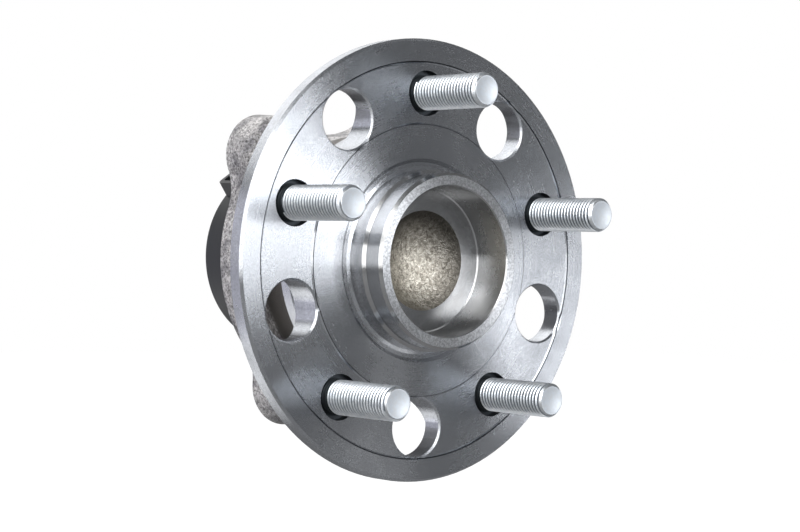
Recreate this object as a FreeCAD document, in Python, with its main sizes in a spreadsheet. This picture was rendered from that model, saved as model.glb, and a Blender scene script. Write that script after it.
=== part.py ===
import FreeCAD, Part
import Sketcher
import math
import os
from FreeCAD import Placement, Rotation, Vector

# Wheel hub bearing unit for a wheel that isn't driven, in millimetres.
# The hub turns about the Y axis. The origin is the centre of the flange's front face, the wheel
# side is -Y, the vehicle side is +Y and +Z points up through the top stud.

doc = FreeCAD.newDocument("wheel_hub_bearing")

# Driving sizes: alias, value and what it is. Places along the axis count from the flange's face.
SIZES = [
    # Wheel flange
    ("bolt_circle", 57.15, "radius of the circle of studs and access holes"),
    ("band_gap", 0.5, "gap between the access holes and each face band"),
    ("rim_width", 7.9, "radial width of the outer face band"),
    ("rim_thickness", 5.8, "thickness of the flange at its rim"),
    ("rim_chamfer", 0.9, "chamfer at the front of the rim"),
    ("recess_depth", 0.5, "depth of the turned recess between the bands"),
    ("recess_slope", 0.6, "radial width of the recess walls"),
    ("flange_thickness", 8.0, "thickness of the flange at the studs"),
    ("root_rise", 5.0, "how much thicker the flange is near the seal"),
    ("root_slope", 11.0, "radial width of the slope to the thick root"),
    ("back_flat", 9.5, "radial width of the flat back under the studs"),
    ("back_margin", 0.85, "flat back outside the studs' heads"),
    # Pilots and the front bore
    ("wheel_pilot_radius", 30.0, "radius of the wheel's pilot"),
    ("wheel_pilot_length", 8.6, "length of the wheel's pilot"),
    ("disc_pilot_step", 1.0, "how much larger the brake disc's pilot is in radius"),
    ("disc_pilot_length", 5.9, "length of the brake disc's pilot"),
    ("pilot_chamfer", 1.0, "chamfer at the pilot's end"),
    ("pilot_wall", 4.5, "wall of the pilot round the front bore"),
    ("bore_draft", 0.9, "how much narrower the front bore is at its floor"),
    ("bore_edge", 0.4, "chamfer at the mouth of the front bore"),
    ("floor_rise", 0.3, "how far the bore's floor stands out of the face"),
    ("groove_slope", 1.2, "radial width of each slope of the relief groove"),
    ("groove_floor", 1.4, "radial width of the relief groove's floor"),
    ("groove_depth", 0.8, "depth of the relief groove round the pilot"),
    ("bowl_radius", 17.1, "radius of the forged bowl's edge"),
    ("bowl_depth", 8.0, "depth of the forged bowl"),
    # Studs and access holes
    ("stud_count", 5, "number of studs and of access holes"),
    ("stud_radius", 5.9, "radius of the stud's thread"),
    ("stud_reach", 30.7, "how far a stud stands out of the face"),
    ("stud_chamfer", 1.1, "chamfer at the stud's end"),
    ("knurl_step", 0.55, "how far the knurled neck stands proud of the thread"),
    ("stud_head_step", 2.05, "how far the head stands proud of the neck"),
    ("stud_head_height", 4.4, "height of the stud's head"),
    ("spot_clearance", 0.7, "gap round the stud's head in its spot face"),
    ("counterbore_step", 1.35, "how much wider the counterbore is than the neck"),
    ("counterbore_depth", 3.0, "depth of the counterbore round each stud"),
    ("access_radius", 10.15, "radius of an access hole"),
    ("access_chamfer", 0.6, "chamfer at an access hole's front edge"),
    # Bearing
    ("pitch_radius", 32.0, "radius of the circle of ball centres"),
    ("ball_radius", 6.35, "radius of a ball"),
    ("ball_count", 12, "number of balls in a row"),
    ("row_spacing", 17.6, "distance between the rows"),
    ("contact_angle", 38.0, "contact angle of the balls"),
    ("race_opening", 0.254, "how much larger the raceway groove's radius is than the ball's"),
    ("ball_play", 0.06, "gap between a ball and each raceway at its contact"),
    ("shoulder_drop", 1.2, "how far the hub's shoulder lies inside the ball centres"),
    ("land_height", 0.55, "height of the inner land above the lowest point of the balls"),
    ("relief_gap", 0.05, "gap between the balls and the outer ring's bore beside them"),
    ("inner_ring_wall", 3.7, "wall of the inner ring at its land"),
    ("inner_ring_reach", 10.4, "reach of the inner ring past the inboard ball centres"),
    ("inner_ring_step", 0.5, "how much lower the inner ring's shoulder is than the hub's"),
    ("edge_break", 0.7, "chamfer on the bearing rings' edges"),
    ("root_fillet", 3.0, "fillet between the seal land and the flange"),
    ("rolled_width", 5.1, "radial width of the spindle's rolled end"),
    ("rolled_height", 3.0, "how far the rolled end stands past the inner ring"),
    ("spindle_cup_radius", 15.5, "radius of the hollow in the spindle's end"),
    ("spindle_cup_depth", 9.0, "depth of the hollow in the spindle's end"),
    # Cages
    ("cage_inset", 0.5, "how far a cage's bore lies inside the ball centres"),
    ("cage_thickness", 2.5, "radial thickness of a cage"),
    ("cage_rim", 1.25, "width of a cage's closed rim behind its pockets"),
    ("cage_front", 4.3, "reach of a cage towards the middle, from the ball centres"),
    ("pocket_gap", 0.2, "gap between a ball and its pocket"),
    ("cage_clearance", 0.5, "gap between a cage and the outer ring's land"),
    ("cage_end_gap", 0.4, "gap between the outboard cage and the seal"),
    # Outer ring
    ("ring_gap", 2.6, "gap between the flange's root and the outer ring"),
    ("front_wall", 5.7, "wall of the outer ring round the seal"),
    ("front_land_length", 5.0, "length of the turned front land"),
    ("barrel_wall", 4.8, "wall of the forged barrel"),
    ("face_reach", 31.4, "distance from the ring's front to the mounting face"),
    ("ear_thickness", 12.0, "thickness of the ears"),
    ("ear_draft", 4.0, "forging draft on the sides of the ears, in degrees"),
    ("ear_rounding", 4.5, "round of the ears' front edges"),
    ("ear_half_angle", 54.0, "half the angle between the two ears of one side"),
    ("ear_tilt", 10.0, "turn of the ears' pattern about the axis, from level"),
    ("ear_hole_radius", 5.2, "tapping radius of the ears' bolt holes"),
    ("ear_hole_gap", 2.8, "wall between the spigot and an ear's hole"),
    ("ear_hole_chamfer", 0.8, "chamfer of an ear's hole at the mounting face"),
    ("ear_wall", 9.0, "wall of an ear round its hole"),
    ("waist_step", 1.0, "how far the plate stands proud of the barrel above and below"),
    ("side_step", 7.0, "how far the plate stands further out at its sides"),
    ("side_flank", 18.0, "hollow radius between an ear and the side"),
    ("waist_flank", 22.0, "hollow radius between an ear and the waist"),
    ("spigot_wall", 3.2, "wall of the spigot that sits in the knuckle"),
    ("spigot_length", 13.0, "length of the spigot"),
    ("spigot_chamfer", 1.0, "chamfer at the spigot's end"),
    ("seal_seat_step", 1.1, "how much wider the seal's bore is than the bore beside the balls"),
    ("seal_bore_depth", 6.2, "depth of the seal's bore"),
    ("cap_seat_step", 0.4, "how much wider the cap's bore is than the bore beside the balls"),
    ("cap_bore_depth", 6.4, "depth of the cap's bore"),
    # Seal
    ("sheet_thickness", 0.8, "thickness of the pressed steel sheet"),
    ("seal_height", 4.0, "height of the seal case's inner edge above the hub's land"),
    ("lip_gap", 0.25, "running gap of the lips"),
    ("lip_thickness", 1.1, "thickness of a lip"),
    # Encoder
    ("encoder_ball_gap", 0.45, "gap between the encoder's sleeve and the balls, along the axis"),
    ("encoder_width", 4.9, "radial width of the encoder"),
    ("encoder_thickness", 1.2, "thickness of the magnetised ring"),
    ("air_gap", 0.8, "gap between the encoder and the sensor"),
    # Sensor cap
    ("cap_skirt_thickness", 2.0, "wall of the cap's skirt"),
    ("cap_flange_step", 1.0, "how far the cap's seating flange covers the ring's end"),
    ("cap_flange_thickness", 1.8, "thickness of the cap's seating flange"),
    ("cap_step_inset", 0.6, "how far the cap behind its flange lies inside its bore"),
    ("cap_radius", 32.8, "radius of the cap's drum"),
    ("cap_cone_reach", 9.5, "distance from the ring's end to the cap's drum"),
    ("cap_drum_length", 15.8, "length of the cap's drum"),
    ("cap_edge_radius", 3.0, "round of the cap's rear edge"),
    ("cap_wall", 2.8, "wall of the cap's drum"),
    ("cap_floor", 3.4, "thickness of the cap's rear wall"),
    ("seal_ring_width", 1.8, "width of the cap's seal ring"),
    ("seal_ring_height", 1.3, "height of the cap's seal ring"),
    ("seal_ring_gap", 0.05, "gap round the cap's seal ring"),
    ("connector_angle", 35.0, "direction of the connector, from up towards the left"),
    ("connector_overhang", 4.8, "how far the connector stands out of the drum"),
    ("connector_margin", 2.3, "distance from the connector to the cap's rear face"),
    ("connector_width", 18.0, "width of the connector's shroud"),
    ("connector_height", 12.6, "height of the connector's shroud"),
    ("connector_round", 2.4, "corner radius of the connector's shroud"),
    ("connector_wall", 1.7, "wall of the connector's shroud"),
    ("socket_depth", 10.0, "depth of the connector's socket"),
    ("pin_width", 0.8, "width of a connector pin"),
    ("pin_length", 5.0, "length of a connector pin in the socket"),
    ("pin_spacing", 5.0, "distance between the connector pins"),
    ("sensor_width", 9.0, "width of the speed sensor"),
    ("sensor_inset", 0.8, "how far the sensor's head lies inside the encoder's edge"),
    ("sensor_depth", 4.8, "radial depth of the sensor's head and stem"),
    ("stem_gap", 0.8, "gap between the sensor's stem and the drum's wall"),
    ("stem_overlap", 0.4, "how far the connector's block reaches past the stem"),
]

sheet = doc.addObject("Spreadsheet::Sheet", "Dims")
for row, (alias, number, meaning) in enumerate(SIZES, start=1):
    sheet.set(f"A{row}", alias)
    sheet.set(f"B{row}", str(number))
    sheet.set(f"C{row}", meaning)
    sheet.setAlias(f"B{row}", alias)
doc.recompute()


class Size:
    """A number together with the expression from which the document works it out."""

    def __init__(self, value, text):
        self.value = float(value)
        self.text = text

    def __add__(self, other):
        other = as_size(other)
        return Size(self.value + other.value, f"({self.text} + {other.text})")

    def __sub__(self, other):
        other = as_size(other)
        return Size(self.value - other.value, f"({self.text} - {other.text})")

    def __mul__(self, other):
        other = as_size(other)
        return Size(self.value * other.value, f"({self.text} * {other.text})")

    def __truediv__(self, other):
        other = as_size(other)
        return Size(self.value / other.value, f"({self.text} / {other.text})")

    def __neg__(self):
        return Size(-self.value, f"(0 - {self.text})")

    def __rsub__(self, other):
        return as_size(other) - self

    def __rtruediv__(self, other):
        return as_size(other) / self

    __radd__ = __add__
    __rmul__ = __mul__


def as_size(number):
    return number if isinstance(number, Size) else Size(number, repr(float(number)))


def sine(angle):
    angle = as_size(angle)
    return Size(math.sin(math.radians(angle.value)), f"sin({angle.text} * 1deg)")


def cosine(angle):
    angle = as_size(angle)
    return Size(math.cos(math.radians(angle.value)), f"cos({angle.text} * 1deg)")


class Dims:
    """Each driving size, by its alias."""


for alias, number, meaning in SIZES:
    setattr(Dims, alias, Size(number, f"Dims.{alias}"))
D = Dims

# Helpers for bodies, sketches and features


def new_body(label):
    body = doc.addObject("PartDesign::Body", f"Body_{label}")
    body.Label = label
    return body


def plane_of(body, role):
    return next(item for item in body.Origin.OriginFeatures if item.Role == role)


def new_sketch(body, name, role="XY_Plane"):
    sketch = body.newObject("Sketcher::SketchObject", f"{name}_sketch")
    sketch.AttachmentSupport = (plane_of(body, role), [""])
    sketch.MapMode = "FlatFace"
    return sketch


def bind(item, path, size):
    """Ties one property, or one named constraint of a sketch, to a size."""
    item.setExpression(path, size.text)


def place_on_axis(sketch, station):
    """Moves a sketch on the XZ plane to a place along the hub's axis."""
    bind(sketch, "AttachmentOffset.Base.z", -as_size(station))


def pin_point(sketch, geometry, point, across, along, name):
    """Holds one point of a sketch at a place that sizes give, with the axes for zero."""
    for axis, kind, size in ((-2, "DistanceX", across), (-1, "DistanceY", along)):
        if isinstance(size, Size):
            index = sketch.addConstraint(
                Sketcher.Constraint(kind, -1, 1, geometry, point, size.value)
            )
            label = f"{name}_{kind[-1].lower()}"
            sketch.renameConstraint(index, label)
            bind(sketch, f"Constraints.{label}", size)
        else:
            sketch.addConstraint(Sketcher.Constraint("PointOnObject", geometry, point, axis))


def closed_outline(sketch, points):
    """A closed outline of straight lines through points given as (across, along)."""
    corners = [Vector(as_size(x).value, as_size(y).value, 0) for x, y in points]
    count = len(corners)
    for index in range(count):
        line = Part.LineSegment(corners[index], corners[(index + 1) % count])
        sketch.addGeometry(line, False)
    for index in range(count):
        sketch.addConstraint(
            Sketcher.Constraint("Coincident", index, 2, (index + 1) % count, 1)
        )
    for index, (across, along) in enumerate(points):
        pin_point(sketch, index, 1, across, along, f"p{index}")


def circle_in(sketch, across, along, radius, name="c"):
    centre = Vector(as_size(across).value, as_size(along).value, 0)
    index = sketch.addGeometry(Part.Circle(centre, Vector(0, 0, 1), radius.value), False)
    constraint = sketch.addConstraint(Sketcher.Constraint("Radius", index, radius.value))
    sketch.renameConstraint(constraint, f"{name}_radius")
    bind(sketch, f"Constraints.{name}_radius", radius)
    pin_point(sketch, index, 3, across, along, name)
    return index


def turned(body, name, points, kind="PartDesign::Revolution"):
    """A solid of revolution, or a groove, from an outline of (radius, place) points."""
    sketch = new_sketch(body, name)
    closed_outline(sketch, points)
    return spun(body, name, sketch, kind)


def spun(body, name, sketch, kind):
    feature = body.newObject(kind, name)
    feature.Profile = sketch
    feature.ReferenceAxis = (sketch, ["V_Axis"])
    feature.Angle = 360.0
    return feature


def ring_groove(body, name, radius, station, groove_radius):
    """A round-bottomed groove that runs all the way round the axis."""
    sketch = new_sketch(body, name)
    circle_in(sketch, radius, station, groove_radius)
    return spun(body, name, sketch, "PartDesign::Groove")


def drilled(body, name, x, z, radius, start, length):
    """A round hole along the axis, from a place towards the vehicle side."""
    sketch = new_sketch(body, name, "XZ_Plane")
    place_on_axis(sketch, start)
    circle_in(sketch, x, z, radius)
    pocket = body.newObject("PartDesign::Pocket", name)
    pocket.Profile = sketch
    bind(pocket, "Length", as_size(length))
    return pocket


def repeated(body, name, features, count):
    """Repeats features evenly about the axis."""
    pattern = body.newObject("PartDesign::PolarPattern", name)
    pattern.Originals = features
    pattern.Axis = (plane_of(body, "Y_Axis"), [""])
    pattern.Angle = 360.0
    bind(pattern, "Occurrences", count)
    body.Tip = pattern
    return pattern


def around(radius, angle):
    """Place in the XZ plane at an angle from up towards the left."""
    return -(radius * sine(angle)), radius * cosine(angle)


# Sizes and places that follow from the driving sizes

knurl_radius = D.stud_radius + D.knurl_step
stud_head_radius = knurl_radius + D.stud_head_step
counterbore_radius = knurl_radius + D.counterbore_step
hole_start = D.recess_depth + D.counterbore_depth
access_angle = 180 / D.stud_count
countersink_depth = D.recess_depth + D.access_chamfer

band_reach = D.access_radius + D.band_gap
outer_band_radius = D.bolt_circle + band_reach
inner_band_radius = D.bolt_circle - band_reach
flange_radius = outer_band_radius + D.rim_width
flange_root = D.flange_thickness + D.root_rise
back_flat_outer = D.bolt_circle + stud_head_radius + D.back_margin
back_flat_inner = back_flat_outer - D.back_flat
root_radius = back_flat_inner - D.root_slope
pilot_length = D.disc_pilot_length + D.wheel_pilot_length
disc_pilot_radius = D.wheel_pilot_radius + D.disc_pilot_step
pilot_bore_radius = D.wheel_pilot_radius - D.pilot_wall
pilot_bore_floor = pilot_bore_radius - D.bore_draft
groove_inner = disc_pilot_radius + D.groove_slope
groove_outer = groove_inner + D.groove_floor

hub_shoulder = D.pitch_radius - D.shoulder_drop
inner_land = D.pitch_radius - D.ball_radius + D.land_height
race_relief = D.pitch_radius + D.ball_radius + D.relief_gap
inner_ring_radius = hub_shoulder - D.inner_ring_step
spindle_radius = inner_land - D.inner_ring_wall
rolled_radius = spindle_radius + D.rolled_width
race_radius = D.ball_radius + D.race_opening
race_shift = D.race_opening - D.ball_play
race_shift_radial = race_shift * cosine(D.contact_angle)
race_shift_axial = race_shift * sine(D.contact_angle)
cage_inner = D.pitch_radius - D.cage_inset
cage_outer = cage_inner + D.cage_thickness
cage_back = D.ball_radius + D.pocket_gap + D.cage_rim
outer_land = cage_outer + D.cage_clearance

seal_bore_radius = race_relief + D.seal_seat_step
seal_inner_radius = hub_shoulder + D.seal_height
cap_bore_radius = race_relief + D.cap_seat_step
spigot_radius = cap_bore_radius + D.spigot_wall
front_land_radius = seal_bore_radius + D.front_wall
barrel_radius = race_relief + D.barrel_wall
waist_radius = barrel_radius + D.waist_step
side_radius = waist_radius + D.side_step
ear_radius = D.ear_hole_radius + D.ear_wall
ear_circle = spigot_radius + D.ear_hole_gap + D.ear_hole_radius

ring_front = flange_root + D.ring_gap
outboard_row = ring_front + D.seal_bore_depth + D.cage_end_gap + cage_back
inboard_row = outboard_row + D.row_spacing
row_middle = outboard_row + D.row_spacing / 2
ring_face = ring_front + D.face_reach
ring_end = ring_face + D.spigot_length
inner_ring_end = inboard_row + D.inner_ring_reach
rolled_end = inner_ring_end + D.rolled_height
cup_floor = rolled_end - D.spindle_cup_depth

encoder_start = inboard_row + D.ball_radius + D.encoder_ball_gap
encoder_radius = inner_ring_radius + D.encoder_width
encoder_face = inner_ring_end + D.sheet_thickness + D.encoder_thickness
sensor_face = encoder_face + D.air_gap
sensor_outer = encoder_radius - D.sensor_inset
stem_outer = D.cap_radius - D.cap_wall - D.stem_gap
stem_inner = stem_outer - D.sensor_depth
cap_drum_start = ring_end + D.cap_cone_reach
cap_end = cap_drum_start + D.cap_drum_length
connector_start = cap_end - D.connector_margin - D.connector_height
connector_root = stem_inner - D.stem_overlap
connector_reach = D.cap_radius + D.connector_overhang

parts = []


def wheel_hub():
    """Forged hub: flange, pilots, spindle, outboard raceway and rolled end, in one piece."""
    body = new_body("wheel_hub")
    front = -pilot_length
    turned(body, "hub_form", [
        (0, -D.floor_rise),
        (pilot_bore_floor - D.bore_edge, -D.floor_rise),
        (pilot_bore_floor, -(D.floor_rise + D.bore_edge)),
        (pilot_bore_radius, front + D.bore_edge),
        (pilot_bore_radius + D.bore_edge, front),
        (D.wheel_pilot_radius - D.pilot_chamfer, front),
        (D.wheel_pilot_radius, front + D.pilot_chamfer),
        (D.wheel_pilot_radius, -(D.disc_pilot_length + D.pilot_chamfer)),
        (disc_pilot_radius, -D.disc_pilot_length),
        (disc_pilot_radius, D.groove_depth / 2),
        (groove_inner, D.groove_depth),
        (groove_outer, D.groove_depth),
        (groove_outer + D.groove_slope, 0),
        (inner_band_radius, 0),
        (inner_band_radius + D.recess_slope, D.recess_depth),
        (outer_band_radius - D.recess_slope, D.recess_depth),
        (outer_band_radius, 0),
        (flange_radius - D.rim_chamfer, 0),
        (flange_radius, D.rim_chamfer),
        (flange_radius, D.rim_thickness),
        (back_flat_outer, D.flange_thickness),
        (back_flat_inner, D.flange_thickness),
        (root_radius, flange_root),
        (hub_shoulder + D.root_fillet, flange_root),
        (hub_shoulder + D.root_fillet * 0.3, flange_root + D.root_fillet * 0.3),
        (hub_shoulder, flange_root + D.root_fillet),
        (hub_shoulder, outboard_row),
        (inner_land, outboard_row),
        (inner_land, row_middle),
        (spindle_radius, row_middle),
        (spindle_radius, inner_ring_end),
        (rolled_radius - D.edge_break, inner_ring_end),
        (rolled_radius, inner_ring_end + D.edge_break),
        (rolled_radius - D.edge_break, rolled_end - D.edge_break),
        (rolled_radius - D.edge_break * 3, rolled_end),
        (D.spindle_cup_radius + D.edge_break, rolled_end),
        (D.spindle_cup_radius, rolled_end - D.edge_break * 2),
        (D.spindle_cup_radius - D.edge_break * 2, cup_floor),
        (0, cup_floor),
    ])
    ring_groove(body, "outboard_inner_race", D.pitch_radius + race_shift_radial,
                outboard_row + race_shift_axial, race_radius)

    sphere_radius = (D.bowl_radius * D.bowl_radius + D.bowl_depth * D.bowl_depth) / (D.bowl_depth * 2)
    bowl = body.newObject("PartDesign::SubtractiveSphere", "forged_bowl")
    bind(bowl, "Radius", sphere_radius)
    bind(bowl, "Placement.Base.y", D.bowl_depth - D.floor_rise - sphere_radius)

    hole = drilled(body, "stud_hole", 0, D.bolt_circle, knurl_radius, 0, flange_root * 2)
    counterbore = drilled(body, "stud_counterbore", 0, D.bolt_circle, counterbore_radius,
                          D.recess_depth - D.counterbore_depth, D.counterbore_depth * 2)
    spot = drilled(body, "stud_spot_face", 0, D.bolt_circle,
                   stud_head_radius + D.spot_clearance, D.flange_thickness, flange_root)
    repeated(body, "stud_holes", [hole, counterbore, spot], D.stud_count)

    access_x, access_z = around(D.bolt_circle, access_angle)
    access = drilled(body, "access_hole", access_x, access_z, D.access_radius,
                     -D.flange_thickness, flange_root * 3)
    countersink = drilled(body, "access_countersink", access_x, access_z,
                          D.access_radius + countersink_depth, 0, countersink_depth)
    countersink.TaperAngle = -45
    repeated(body, "access_holes", [access, countersink], D.stud_count)
    return body


def wheel_stud(number):
    """One pressed-in stud: head behind the flange, knurled neck in it and a plain thread."""
    body = new_body(f"wheel_stud_{number + 1}")
    turned(body, "stud_form", [
        (0, -D.stud_reach),
        (D.stud_radius - D.stud_chamfer, -D.stud_reach),
        (D.stud_radius, D.stud_chamfer - D.stud_reach),
        (D.stud_radius, hole_start),
        (knurl_radius, hole_start),
        (knurl_radius, D.flange_thickness),
        (stud_head_radius, D.flange_thickness),
        (stud_head_radius, D.flange_thickness + D.stud_head_height - D.edge_break),
        (stud_head_radius - D.edge_break, D.flange_thickness + D.stud_head_height),
        (0, D.flange_thickness + D.stud_head_height),
    ])
    x, z = around(D.bolt_circle, 360 / D.stud_count * number)
    bind(body, "Placement.Base.x", x)
    bind(body, "Placement.Base.z", z)
    return body


def inner_ring():
    """Separate inner ring of the inboard row, seated on the spindle."""
    body = new_body("inner_ring")
    turned(body, "ring_form", [
        (spindle_radius, row_middle),
        (inner_land, row_middle),
        (inner_land, inboard_row),
        (inner_ring_radius, inboard_row),
        (inner_ring_radius, inner_ring_end),
        (spindle_radius, inner_ring_end),
    ])
    ring_groove(body, "inboard_inner_race", D.pitch_radius + race_shift_radial,
                inboard_row - race_shift_axial, race_radius)
    return body


def polar(radius, angle):
    """Place in the XZ plane as a vector of the sketch, at an angle from up towards the left."""
    turn = math.radians(angle)
    return Vector(-radius * math.sin(turn), radius * math.cos(turn), 0)


def ear_angles():
    """Each ear's angle, with the shapes of the plate before and after it, going round."""
    side = D.ear_tilt + 90
    waist = (waist_radius, D.waist_flank)
    wing = (side_radius, D.side_flank)
    return [
        (side - D.ear_half_angle, waist, wing),
        (side + D.ear_half_angle, wing, waist),
        (side + 180 - D.ear_half_angle, waist, wing),
        (side + 180 + D.ear_half_angle, wing, waist),
    ]


def flank_centre(ear_angle, core, hollow, direction):
    """First guess of a flank's centre, which its tangencies then hold."""
    reach = core.value + hollow.value
    across = ear_radius.value + hollow.value
    circle = ear_circle.value
    spread = math.acos((reach**2 + circle**2 - across**2) / (2 * reach * circle))
    return polar(reach, ear_angle.value + direction * math.degrees(spread))


def arc_about(sketch, centre, radius, start, end):
    """Adds an arc that runs counterclockwise about its centre between two directions."""
    first = math.atan2(start.y - centre.y, start.x - centre.x)
    last = math.atan2(end.y - centre.y, end.x - centre.x)
    circle = Part.Circle(centre, Vector(0, 0, 1), radius.value)
    index = sketch.addGeometry(Part.ArcOfCircle(circle, first, last), False)
    constraint = sketch.addConstraint(Sketcher.Constraint("Radius", index, radius.value))
    sketch.renameConstraint(constraint, f"radius_{index}")
    bind(sketch, f"Constraints.radius_{index}", radius)
    return index


def ear_plate(body):
    """The four-eared plate: round ears, wide sides and narrow waists joined by hollow flanks."""
    sketch = new_sketch(body, "ear_plate", "XZ_Plane")
    place_on_axis(sketch, ring_face)
    axis = Vector(0, 0, 0)
    ears = ear_angles()
    starts, ends = [], []
    for number, (angle, before, after) in enumerate(ears):
        ear = polar(ear_circle.value, angle.value)
        near = flank_centre(angle, *before, -1)
        far = flank_centre(angle, *after, 1)
        next_angle, next_before, _ = ears[(number + 1) % len(ears)]
        following = flank_centre(next_angle, *next_before, -1)
        first_flank = arc_about(sketch, near, before[1], ear, axis)
        ear_end = arc_about(sketch, ear, ear_radius, near, far)
        second_flank = arc_about(sketch, far, after[1], axis, ear)
        core = arc_about(sketch, axis, after[0], far, following)
        x, z = around(ear_circle, angle)
        pin_point(sketch, ear_end, 3, x, z, f"ear_{number + 1}")
        sketch.addConstraint(Sketcher.Constraint("Coincident", core, 3, -1, 1))
        # A flank is hollow, so the outline runs through it from its end to its start.
        starts += [(first_flank, 2), (ear_end, 1), (second_flank, 2), (core, 1)]
        ends += [(first_flank, 1), (ear_end, 2), (second_flank, 1), (core, 2)]
    for number, end in enumerate(ends):
        start = starts[(number + 1) % len(starts)]
        sketch.addConstraint(Sketcher.Constraint("Tangent", *end, *start))
    plate = body.newObject("PartDesign::Pad", "ear_plate")
    plate.Profile = sketch
    bind(plate, "Length", D.ear_thickness)
    bind(plate, "TaperAngle", -D.ear_draft)
    doc.recompute()
    front = (ring_face - D.ear_thickness).value
    front_edges = [f"Edge{index}" for index, edge in enumerate(plate.Shape.Edges, start=1)
                   if abs(edge.BoundBox.YMin - front) < 0.01 and abs(edge.BoundBox.YMax - front) < 0.01]
    rounding = body.newObject("PartDesign::Fillet", "ear_rounding")
    rounding.Base = (plate, front_edges)
    bind(rounding, "Radius", D.ear_rounding)


def outer_ring():
    """Outer ring: forged plate with four ears, barrel and spigot, then both raceways and the bores."""
    body = new_body("outer_ring")
    ear_plate(body)
    turned(body, "forged_barrel", [
        (0, ring_front),
        (front_land_radius - D.edge_break, ring_front),
        (front_land_radius, ring_front + D.edge_break),
        (front_land_radius, ring_front + D.front_land_length),
        (barrel_radius, ring_front + D.front_land_length + D.edge_break),
        (barrel_radius, ring_face),
        (spigot_radius, ring_face),
        (spigot_radius, ring_end - D.spigot_chamfer),
        (spigot_radius - D.spigot_chamfer, ring_end),
        (0, ring_end),
    ])
    turned(body, "bores", [
        (0, ring_front),
        (seal_bore_radius + D.edge_break, ring_front),
        (seal_bore_radius, ring_front + D.edge_break),
        (seal_bore_radius, ring_front + D.seal_bore_depth),
        (race_relief, ring_front + D.seal_bore_depth),
        (race_relief, outboard_row),
        (outer_land, outboard_row),
        (outer_land, inboard_row),
        (race_relief, inboard_row),
        (race_relief, ring_end - D.cap_bore_depth),
        (cap_bore_radius, ring_end - D.cap_bore_depth),
        (cap_bore_radius, ring_end - D.edge_break),
        (cap_bore_radius + D.edge_break, ring_end),
        (0, ring_end),
    ], "PartDesign::Groove")
    ring_groove(body, "outboard_outer_race", D.pitch_radius - race_shift_radial,
                outboard_row - race_shift_axial, race_radius)
    ring_groove(body, "inboard_outer_race", D.pitch_radius - race_shift_radial,
                inboard_row + race_shift_axial, race_radius)
    for number, (angle, _, _) in enumerate(ear_angles(), start=1):
        x, z = around(ear_circle, angle)
        drilled(body, f"ear_hole_{number}", x, z, D.ear_hole_radius,
                ring_face - D.ear_thickness * 2, D.ear_thickness * 3)
        chamfer = drilled(body, f"ear_chamfer_{number}", x, z, D.ear_hole_radius,
                          ring_face - D.ear_hole_chamfer, D.ear_hole_chamfer)
        chamfer.TaperAngle = 45
    return body


def seal_case():
    """Pressed steel case of the outboard seal."""
    body = new_body("outboard_seal_case")
    inside = ring_front + D.seal_bore_depth
    turned(body, "case_form", [
        (seal_bore_radius, ring_front + D.edge_break),
        (seal_bore_radius, inside),
        (seal_inner_radius, inside),
        (seal_inner_radius, inside - D.sheet_thickness),
        (seal_bore_radius - D.sheet_thickness, inside - D.sheet_thickness),
        (seal_bore_radius - D.sheet_thickness, ring_front + D.edge_break),
    ])
    return body


def seal_lip():
    """Rubber bonded to the seal's case, with a face lip and a radial lip on the hub."""
    body = new_body("outboard_seal_lip")
    web = ring_front + D.seal_bore_depth - D.sheet_thickness
    inside = seal_bore_radius - D.sheet_thickness
    land = hub_shoulder + D.lip_gap
    turned(body, "lip_form", [
        (inside, web),
        (inside, web - D.lip_thickness),
        (seal_inner_radius + D.lip_thickness * 2, web - D.lip_thickness),
        (seal_inner_radius + D.lip_thickness * 3, flange_root + D.lip_gap),
        (seal_inner_radius + D.lip_thickness * 2, flange_root + D.lip_gap),
        (seal_inner_radius + D.lip_thickness, web - D.lip_thickness),
        (seal_inner_radius, web - D.lip_thickness),
        (land, web - D.lip_thickness * 2.4),
        (land, web - D.lip_thickness * 1.6),
        (seal_inner_radius - D.lip_thickness, web - D.lip_thickness * 0.2),
        (seal_inner_radius - D.lip_thickness, web + D.sheet_thickness),
        (seal_inner_radius, web + D.sheet_thickness),
        (seal_inner_radius, web),
    ])
    return body


def encoder_carrier():
    """Pressed steel carrier of the encoder, on the inner ring's shoulder."""
    body = new_body("encoder_carrier")
    turned(body, "carrier_form", [
        (inner_ring_radius, encoder_start),
        (inner_ring_radius + D.sheet_thickness, encoder_start),
        (inner_ring_radius + D.sheet_thickness, inner_ring_end),
        (encoder_radius, inner_ring_end),
        (encoder_radius, inner_ring_end + D.sheet_thickness),
        (inner_ring_radius, inner_ring_end + D.sheet_thickness),
    ])
    return body


def encoder_ring():
    """Magnetised rubber ring that the speed sensor reads."""
    body = new_body("encoder_ring")
    turned(body, "encoder_form", [
        (inner_ring_radius, encoder_face - D.encoder_thickness),
        (encoder_radius, encoder_face - D.encoder_thickness),
        (encoder_radius, encoder_face),
        (inner_ring_radius, encoder_face),
    ])
    return body


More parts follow.
